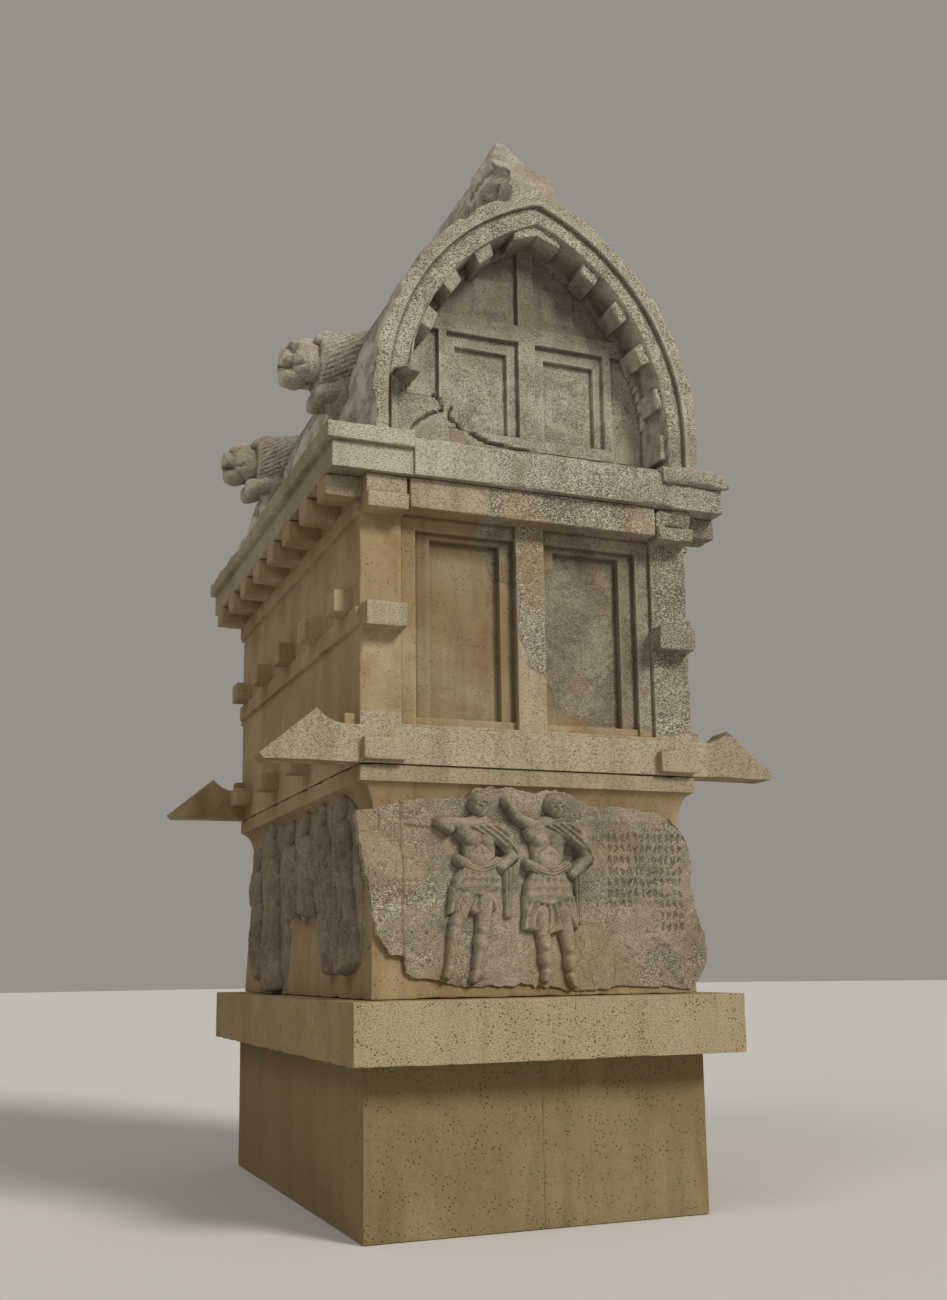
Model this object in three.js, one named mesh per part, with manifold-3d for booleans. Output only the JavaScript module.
import * as THREE from "three";
import { mergeVertices } from "three/addons/utils/BufferGeometryUtils.js";
import Module from "manifold-3d";

// A house-shaped stone sarcophagus: plinth, relief block, hollow chest and hollow pointed lid.
// Millimetres. X runs right along the front, Y to the back, Z up.
// The origin is the middle of the plinth's underside, and the front faces -Y.

const GAP = 0.3; // clearance between two stones that rest on each other

// plinth
const BLOCK_HALF_X = 738;
const BLOCK_HALF_Y = 1128;
const BLOCK_TOP = 652;
const SLAB_HALF_X = 832.5;
const SLAB_HALF_Y = 1316.5;
const SLAB_TOP = 890;

// relief block
const RELIEF_FOOT_X = 712;
const RELIEF_FOOT_Y = 1145;
const RELIEF_NECK_X = 684;
const RELIEF_NECK_Y = 1085;
const RELIEF_NECK_Z = 1590;
const RELIEF_LIP_X = 750;
const RELIEF_LIP_Y = 1126;
const RELIEF_LIP_Z = 1735;
const RELIEF_TOP = 1803;
const FRAGMENT_RISE = 10; // how far the carved fragments stand out of the dressed block

// sill of the chest
const SILL_TOP = 1955;
const SILL_FRONT = 1135;
const SILL_BACK = 1005;
const HORN_TIP_X = 1150;
const HORN_PEAK_X = 926;
const HORN_PEAK_Z = 2013;
const HORN_ROOT_X = 806;

// chest
const CHEST_HALF_X = 750;
const CHEST_HALF_Y = 1120;
const CHEST_TOP = 2972;
const CHEST_WALL = 150;
const CHEST_FLOOR = 2040;
const POST_INNER_X = 575;
const BEAM_INNER_X = 571;
const BEAM_OUTER_X = 745;
const DENTIL_PITCH = 305;
const DENTIL_WIDTH = 127;
const BEAM_PITCH = 480;
const BEAM_WIDTH = 125;

// lid
const LID_BOTTOM = CHEST_TOP + GAP;
const FASCIA_HALF_X = 895;
const FASCIA_HALF_Y = 1222;
const FASCIA_TOP = 3083;
const CORNICE_HALF_X = 920;
const CORNICE_HALF_Y = 1244;
const CORNICE_TOP = 3158;
const GABLE_SILL_TOP = 3130;
const RETURN_INNER_X = 552;
const ARCH_HALF_X = 750;
const ARCH_RADIUS = 1087;
const ARCH_SPRING = 3308;
const ARCH_FRONT = 1240;
const ARCH_GROOVE = 65; // inset of the step between the two bands of the arch
const ARCH_INNER = 142; // inset of the arch's inner edge
const VAULT_INSET = 172; // inset of the hollow under the lid
const VAULT_HALF_Y = 925;
const TYMPANUM = 1083;
const PURLIN_DROP = 50;
const PURLIN_WIDTH = 88;
const CREST_TOP = 4842;
const ARCH_STEPS = 14;

const wasm = await Module();
wasm.setup();

function solid(geometry) {
  const flat = geometry.index ? geometry.toNonIndexed() : geometry;
  const bare = new THREE.BufferGeometry();
  bare.setAttribute("position", flat.getAttribute("position").clone());
  const merged = mergeVertices(bare, 1e-3);
  const mesh = new wasm.Mesh({
    numProp: 3,
    vertProperties: merged.attributes.position.array,
    triVerts: new Uint32Array(merged.index.array),
  });
  return new wasm.Manifold(mesh);
}

function box(x0, x1, y0, y1, z0, z1) {
  const geometry = new THREE.BoxGeometry(x1 - x0, y1 - y0, z1 - z0);
  geometry.translate((x0 + x1) / 2, (y0 + y1) / 2, (z0 + z1) / 2);
  return solid(geometry);
}

function prism(points, depth, basis) {
  const shape = new THREE.Shape(points.map(([a, b]) => new THREE.Vector2(a, b)));
  const geometry = new THREE.ExtrudeGeometry(shape, { depth, bevelEnabled: false });
  geometry.applyMatrix4(basis);
  return geometry;
}

// A closed outline in (x, z), run along Y from y0 to y1.
function alongY(points, y0, y1) {
  const basis = new THREE.Matrix4().makeBasis(
    new THREE.Vector3(1, 0, 0),
    new THREE.Vector3(0, 0, 1),
    new THREE.Vector3(0, -1, 0),
  );
  return solid(prism(points, y1 - y0, basis).translate(0, y1, 0));
}

// A closed outline in (y, z), run along X from x0 to x1.
function alongX(points, x0, x1) {
  const basis = new THREE.Matrix4().makeBasis(
    new THREE.Vector3(0, 1, 0),
    new THREE.Vector3(0, 0, 1),
    new THREE.Vector3(1, 0, 0),
  );
  return solid(prism(points, x1 - x0, basis).translate(x0, 0, 0));
}

function ball(x, y, z, rx, ry, rz) {
  const geometry = new THREE.SphereGeometry(1, 8, 5);
  geometry.scale(rx, ry, rz);
  geometry.translate(x, y, z);
  return solid(geometry);
}

// A round bar from point p to point q, with its own radius at each end.
function limb(p, q, r0, r1) {
  const from = new THREE.Vector3(...p);
  const to = new THREE.Vector3(...q);
  const run = to.clone().sub(from);
  const geometry = new THREE.CylinderGeometry(r1, r0, run.length(), 6);
  geometry.translate(0, run.length() / 2, 0);
  const turn = new THREE.Quaternion();
  turn.setFromUnitVectors(new THREE.Vector3(0, 1, 0), run.normalize());
  geometry.applyQuaternion(turn);
  geometry.translate(...p);
  return solid(geometry);
}

function join(solids) {
  return wasm.Manifold.union(solids);
}

// The same piece on the left and on the right.
function bothSides(make) {
  const right = make();
  return join([right, right.mirror([1, 0, 0])]);
}

// The same piece at the front and at the back.
function bothEnds(make) {
  const front = make();
  return join([front, front.mirror([0, 1, 0])]);
}

function centred(count, pitch) {
  return Array.from({ length: count }, (_, i) => (i - (count - 1) / 2) * pitch);
}

// One outline of the relief block, from foot to top, with a hollow moulding under the lip.
function mouldedProfile(foot, neck, lip) {
  const side = [[foot, SLAB_TOP + GAP]];
  side.push([neck, RELIEF_NECK_Z]);
  for (let i = 1; i <= 6; i += 1) {
    const turn = (i / 6) * (Math.PI / 2);
    const out = neck + (lip - neck) * (1 - Math.cos(turn));
    const up = RELIEF_NECK_Z + (RELIEF_LIP_Z - RELIEF_NECK_Z) * Math.sin(turn);
    side.push([out, up]);
  }
  side.push([lip, RELIEF_TOP]);
  const other = side.map(([a, b]) => [-a, b]).reverse();
  return [...side, ...other];
}

// An uneven rounded patch: a leaning superellipse whose edge wanders in and out.
function patch(cx, cz, half, high, wander, lean) {
  const points = [];
  for (let i = 0; i < 36; i += 1) {
    const turn = (i / 36) * 2 * Math.PI;
    const c = Math.cos(turn);
    const s = Math.sin(turn);
    const waves = Math.sin(3 * turn + 0.6) + 0.7 * Math.sin(7 * turn + 1.9);
    const reach = 1 + wander * waves;
    const a = cx + half * reach * Math.sign(c) * Math.abs(c) ** 0.45;
    const b = cz + high * reach * Math.sign(s) * Math.abs(s) ** 0.45;
    points.push([a - lean * (b - cz), b]);
  }
  return points;
}

// The pointed arch's outline in (x, z), inset from its outer edge, closed along z = foot.
function archOutline(inset, foot) {
  const radius = ARCH_RADIUS - inset;
  const centre = ARCH_HALF_X - ARCH_RADIUS;
  const top = Math.acos(-centre / radius);
  const right = [[ARCH_HALF_X - inset, foot]];
  for (let i = 0; i < ARCH_STEPS; i += 1) {
    const turn = (top * i) / ARCH_STEPS;
    right.push([centre + radius * Math.cos(turn), ARCH_SPRING + radius * Math.sin(turn)]);
  }
  const left = right.map(([a, b]) => [-a, b]).reverse();
  return [...right, [0, ARCH_SPRING + radius * Math.sin(top)], ...left];
}

// ---- plinth
const plinthRight = box(GAP / 2, BLOCK_HALF_X, -BLOCK_HALF_Y, BLOCK_HALF_Y, 0, BLOCK_TOP);
const plinthLeft = plinthRight.mirror([1, 0, 0]);
const plinthSlab = box(
  -SLAB_HALF_X,
  SLAB_HALF_X,
  -SLAB_HALF_Y,
  SLAB_HALF_Y,
  BLOCK_TOP + GAP,
  SLAB_TOP,
);

// ---- relief block
// A youth standing in high relief on a ground at y = -ground: x is the middle of the waist,
// side is +1 or -1 for the arm that rests on the hip, and raised is the lifted hand's offset in x.
function youth(x, ground, side, raised) {
  const y = -ground;
  const hip = (dx, z) => [x + dx * side, y - 12, z];
  return join([
    ball(x, y - 14, 1650, 42, 46, 52),
    limb([x, y - 6, 1590], [x, y - 6, 1630], 34, 28),
    limb([x, y, 1410], [x, y, 1570], 72, 96),
    ball(x, y - 4, 1555, 98, 50, 46),
    limb([x, y, 1205], [x, y, 1405], 124, 84),
    limb([x + 50, y, 975], [x + 42, y, 1215], 34, 56),
    limb([x - 50, y, 970], [x - 38, y, 1215], 34, 56),
    ball(x + 62, y - 20, 962, 52, 52, 26),
    ball(x - 62, y - 20, 957, 52, 52, 26),
    limb(hip(88, 1570), hip(140, 1450), 32, 27),
    limb(hip(140, 1450), hip(70, 1385), 27, 24),
    limb(hip(-88, 1572), hip(-176, 1590), 32, 27),
    limb(hip(-176, 1590), hip(-150 - raised, 1650), 27, 24),
    limb([x + 118 * side, y, 1210], [x + 70 * side, y, 1560], 30, 40),
  ]);
}

// A worn draped figure on the left side, on a ground at x = -ground.
function mourner(y, foot, ground) {
  const x = -ground;
  return join([
    limb([x, y, foot], [x - 4, y - 14, 1560], 74, 58),
    ball(x - 6, y - 18, 1575, 44, 66, 46),
    ball(x - 8, y - 22, 1650, 40, 40, 50),
  ]);
}

function reliefBlock() {
  const across = alongY(
    mouldedProfile(RELIEF_FOOT_X, RELIEF_NECK_X, RELIEF_LIP_X),
    -RELIEF_LIP_Y,
    RELIEF_LIP_Y,
  );
  const along = alongX(
    mouldedProfile(RELIEF_FOOT_Y, RELIEF_NECK_Y, RELIEF_LIP_Y),
    -RELIEF_LIP_X,
    RELIEF_LIP_X,
  );
  const front = RELIEF_FOOT_Y + FRAGMENT_RISE;
  const side = RELIEF_FOOT_X + FRAGMENT_RISE;
  const frontFragment = alongY(patch(0, 1312, 722, 380, 0.02, 0.1), -front, -1000);
  const sideFragment = alongX(patch(-190, 1350, 830, 345, 0.03, 0), -side, -600);
  const carving = [
    youth(-246, front - 12, 1, 0),
    youth(88, front - 12, 1, 50),
    mourner(-860, 1000, side - 14),
    mourner(-560, 1080, side - 12),
    mourner(-60, 1200, side - 14),
    mourner(430, 930, side - 14),
  ];
  return join([across.intersect(along), frontFragment, sideFragment, ...carving]);
}

// ---- chest, carved in one with its sill, beam ends and top moulding
function hornProfile() {
  const right = [
    [HORN_TIP_X - 16, RELIEF_TOP + GAP],
    [HORN_TIP_X, RELIEF_TOP + 24],
    [HORN_PEAK_X, HORN_PEAK_Z],
  ];
  for (let i = 1; i < 6; i += 1) {
    const t = i / 6;
    const x = HORN_PEAK_X + (HORN_ROOT_X - HORN_PEAK_X) * t;
    right.push([x, SILL_TOP + (HORN_PEAK_Z - SILL_TOP) * (1 - t) ** 2.2]);
  }
  right.push([HORN_ROOT_X, SILL_TOP]);
  return [...right, ...right.map(([a, b]) => [-a, b]).reverse()];
}

// Two stepped panels beside a middle post, sunk into an end wall whose face is at y = -face.
function endPanels(face, steps) {
  const cuts = [];
  for (const [x0, x1, z0, z1, depth] of steps) {
    cuts.push(box(x0, x1, -face - 5, -face + depth, z0, z1));
    cuts.push(box(-x1, -x0, -face - 5, -face + depth, z0, z1));
  }
  return join(cuts);
}

function chest() {
  const bottom = RELIEF_TOP + GAP;
  const parts = [
    box(-745, 745, -CHEST_HALF_Y, CHEST_HALF_Y, bottom, SILL_TOP + 60),
    box(-CHEST_HALF_X, CHEST_HALF_X, -CHEST_HALF_Y, CHEST_HALF_Y, SILL_TOP + 20, CHEST_TOP),
    bothEnds(() => alongY(hornProfile(), -SILL_FRONT, -SILL_BACK)),
    bothEnds(() => box(-803, 803, -1090, -1015, SILL_TOP - 20, SILL_TOP + 50)),
  ];
  // ends of the long side sills and of the tie beams, on the front and back
  const ends = bothSides(() =>
    bothEnds(() =>
      join([
        box(BEAM_INNER_X, BEAM_OUTER_X, -1168, -1000, 1815, 1905),
        box(BEAM_INNER_X, BEAM_OUTER_X, -1200, -1100, 2345, 2447),
        box(BEAM_INNER_X, BEAM_OUTER_X, -1200, -1100, 2826, 2893),
        box(BEAM_INNER_X, BEAM_OUTER_X, -1180, -1100, 2890, CHEST_TOP),
      ]),
    ),
  );
  parts.push(ends);
  parts.push(bothEnds(() => box(-560, 560, -1172, -1100, 2845, CHEST_TOP)));
  // rails, joists, beam ends and dentils along the two long sides
  const longSide = bothSides(() =>
    join([
      box(700, 768, -CHEST_HALF_Y, CHEST_HALF_Y, 2358, 2436),
      box(700, 770, -CHEST_HALF_Y, CHEST_HALF_Y, 2815, 2885),
      ...centred(5, BEAM_PITCH).map((y) =>
        box(700, 830, y - BEAM_WIDTH / 2, y + BEAM_WIDTH / 2, 2434, 2530),
      ),
      ...centred(8, DENTIL_PITCH).map((y) =>
        box(700, 898, y - DENTIL_WIDTH / 2, y + DENTIL_WIDTH / 2, 2883, CHEST_TOP),
      ),
      ...centred(4, 2 * DENTIL_PITCH).map((y) =>
        box(700, 840, y - BEAM_WIDTH / 2, y + BEAM_WIDTH / 2, 1868, 1952),
      ),
    ]),
  );
  parts.push(longSide);
  const frontSteps = [
    [20, POST_INNER_X, SILL_TOP + 15, 2845, 18],
    [65, 507, SILL_TOP + 15, 2785, 45],
    [125, 437, SILL_TOP + 15, 2760, 78],
  ];
  const backSteps = [
    [-20, POST_INNER_X, SILL_TOP + 15, 2845, 18],
    [65, 507, SILL_TOP + 60, 2785, 45],
  ];
  const middlePost = bothSides(() => box(-5, 65, -1118, -1090, SILL_TOP, 2850));
  const inner = box(
    -CHEST_HALF_X + CHEST_WALL,
    CHEST_HALF_X - CHEST_WALL,
    -CHEST_HALF_Y + CHEST_WALL + 40,
    CHEST_HALF_Y - CHEST_WALL - 40,
    CHEST_FLOOR,
    CHEST_TOP + 50,
  );
  const shell = join(parts)
    .subtract(endPanels(CHEST_HALF_Y, frontSteps))
    .subtract(endPanels(CHEST_HALF_Y, backSteps).mirror([0, 1, 0]))
    .subtract(inner);
  return join([shell, middlePost]);
}

// ---- lid
// One short purlin end under the arch: s is its place along the inner edge, measured from the foot.
function purlin(side, s, drop, width) {
  const radius = ARCH_RADIUS - ARCH_INNER;
  const straight = ARCH_SPRING - CORNICE_TOP;
  const turn = Math.max(0, s - straight) / radius;
  const centre = ARCH_HALF_X - ARCH_RADIUS;
  const geometry = new THREE.BoxGeometry(drop + 40, 160, width);
  geometry.translate(radius - drop / 2 + 20, -1147, 0);
  geometry.rotateY(-turn);
  geometry.translate(centre, 0, ARCH_SPRING - Math.max(0, straight - s));
  const made = solid(geometry);
  return side < 0 ? made.mirror([1, 0, 0]) : made;
}

function purlins() {
  const spots = [70, 300, 530, 760, 990];
  const made = [];
  spots.forEach((s, i) => {
    if (i > 0) made.push(purlin(-1, s, PURLIN_DROP, PURLIN_WIDTH));
    const drop = i < 2 ? PURLIN_DROP * 0.55 : PURLIN_DROP;
    made.push(purlin(1, s, drop, PURLIN_WIDTH));
  });
  made.push(
    alongY(
      [
        [-100, 4230],
        [-104, 4088],
        [0, 4142],
        [104, 4088],
        [100, 4230],
      ],
      -1227,
      -1067,
    ),
  );
  return join(made);
}

function tympanumCuts(depth) {
  const cuts = [];
  for (const side of [-1, 1]) {
    const span = (a, b) => [Math.min(side * a, side * b), Math.max(side * a, side * b)];
    const [a0, a1] = span(39, 372);
    const [b0, b1] = span(88, 330);
    cuts.push(box(a0, a1, -TYMPANUM - 5, -TYMPANUM + depth, 3265, 3700));
    if (depth > 20) cuts.push(box(b0, b1, -TYMPANUM - 5, -TYMPANUM + 2 * depth, 3266, 3642));
  }
  const above = box(-700, 700, -1200, -1000, 3776, 4400);
  const upper = alongY(archOutline(ARCH_INNER + 46, 3265), -TYMPANUM - 5, -TYMPANUM + depth);
  const wings = alongY(archOutline(ARCH_INNER + 40, 3265), -TYMPANUM - 5, -TYMPANUM + depth);
  const rest = box(-410, 410, -1200, -1000, 3200, 3790);
  const post = box(-39, 39, -1200, -1000, 3700, 4300);
  const rail = box(-700, 700, -1200, -1000, 3700, 3776);
  cuts.push(upper.intersect(above).subtract(post));
  cuts.push(wings.subtract(join([rest, rail, box(-700, 700, -1200, -1000, 3700, 4400)])));
  return join(cuts);
}

// A lion's forepart growing out of the roof: neck with mane, head, muzzle and two paws.
function lion(side, y) {
  const parts = [
    limb([480, y, 3690], [800, y, 3680], 175, 128),
    ball(850, y, 3675, 92, 98, 104),
    ball(918, y, 3632, 58, 62, 56),
    limb([660, y + 62, 3520], [850, y + 62, 3430], 60, 42),
    limb([660, y - 62, 3520], [850, y - 62, 3430], 60, 42),
    ball(855, y + 62, 3422, 62, 46, 38),
    ball(855, y - 62, 3422, 62, 46, 38),
    ball(690, y, 3520, 92, 130, 120),
  ];
  const made = join(parts);
  return side < 0 ? made.mirror([1, 0, 0]) : made;
}

// The ridge crest, upright and thick, broken away at its front end.
function crest() {
  const side = [
    [-1236, 4210],
    [-1225, 4330],
    [-1180, 4400],
    [-1090, 4520],
    [-940, 4640],
    [-830, 4800],
    [-780, CREST_TOP],
    [-610, CREST_TOP - 30],
    [-480, CREST_TOP - 70],
    [-150, CREST_TOP - 30],
    [200, CREST_TOP - 10],
    [1040, CREST_TOP - 20],
    [1090, CREST_TOP - 110],
    [1135, 4210],
  ];
  const flank = [
    [235, 4080],
    [155, 4400],
    [112, 4600],
    [50, 4735],
    [12, CREST_TOP],
  ];
  const across = [...flank, ...flank.map(([a, b]) => [-a, b]).reverse()];
  return alongX(side, -250, 250).intersect(alongY(across, -1300, 1300));
}

function lid() {
  const roof = alongY(archOutline(0, CORNICE_TOP - 60), -ARCH_FRONT, ARCH_FRONT);
  const fascia = box(
    -FASCIA_HALF_X,
    FASCIA_HALF_X,
    -FASCIA_HALF_Y,
    FASCIA_HALF_Y,
    LID_BOTTOM,
    FASCIA_TOP + 1,
  );
  const cornice = box(
    -CORNICE_HALF_X,
    CORNICE_HALF_X,
    -CORNICE_HALF_Y,
    CORNICE_HALF_Y,
    FASCIA_TOP,
    CORNICE_TOP,
  );
  const solids = join([roof, fascia, cornice, crest()]);
  const vault = alongY(archOutline(VAULT_INSET, LID_BOTTOM - 50), -VAULT_HALF_Y, VAULT_HALF_Y);
  // the gable: a stepped arch round a sunk field, over a sill set back from the cornice returns
  const gable = () => {
    const field = alongY(archOutline(ARCH_INNER, GABLE_SILL_TOP), -1400, -TYMPANUM);
    const band = alongY(archOutline(ARCH_GROOVE, CORNICE_TOP), -1400, -ARCH_FRONT + 20);
    const over = box(-RETURN_INNER_X, RETURN_INNER_X, -1400, -FASCIA_HALF_Y, 2900, 4000);
    const sill = box(-RETURN_INNER_X, RETURN_INNER_X, -1400, -TYMPANUM, GABLE_SILL_TOP, 4000);
    const foot = box(-620, 620, -1400, -1200, CORNICE_TOP, 3700);
    return join([field, band, over, sill.intersect(join([field, foot]))]);
  };
  const gableCut = gable();
  const worn = box(RETURN_INNER_X - 1, 590, -1400, -FASCIA_HALF_Y, 3000, CORNICE_TOP + 1);
  const shell = solids
    .subtract(gableCut)
    .subtract(gableCut.mirror([0, 1, 0]))
    .subtract(tympanumCuts(22))
    .subtract(tympanumCuts(18).mirror([0, 1, 0]))
    .subtract(worn);
  const lions = [-1, 1].flatMap((side) => [-640, 640].map((y) => lion(side, y)));
  return join([shell, purlins(), ...lions]).subtract(vault);
}

const group = new THREE.Group();
group.name = "stone_sarcophagus";

function add(name, made, colour, roughness) {
  const mesh = made.getMesh();
  const geometry = new THREE.BufferGeometry();
  geometry.setAttribute("position", new THREE.BufferAttribute(mesh.vertProperties, 3));
  geometry.setIndex(new THREE.BufferAttribute(mesh.triVerts, 1));
  const look = new THREE.MeshStandardMaterial({ color: colour, roughness, metalness: 0 });
  const node = new THREE.Mesh(geometry, look);
  node.name = name;
  group.add(node);
}

add("plinth_block_left", plinthLeft, 0xb29a74, 0.85);
add("plinth_block_right", plinthRight, 0xb0986f, 0.85);
add("plinth_slab", plinthSlab, 0xb7a27c, 0.9);
add("relief_block", reliefBlock(), 0x9d8f7a, 0.92);
add("chest", chest(), 0xa8926e, 0.92);
add("lid", lid(), 0x9b9384, 0.94);

export default group;
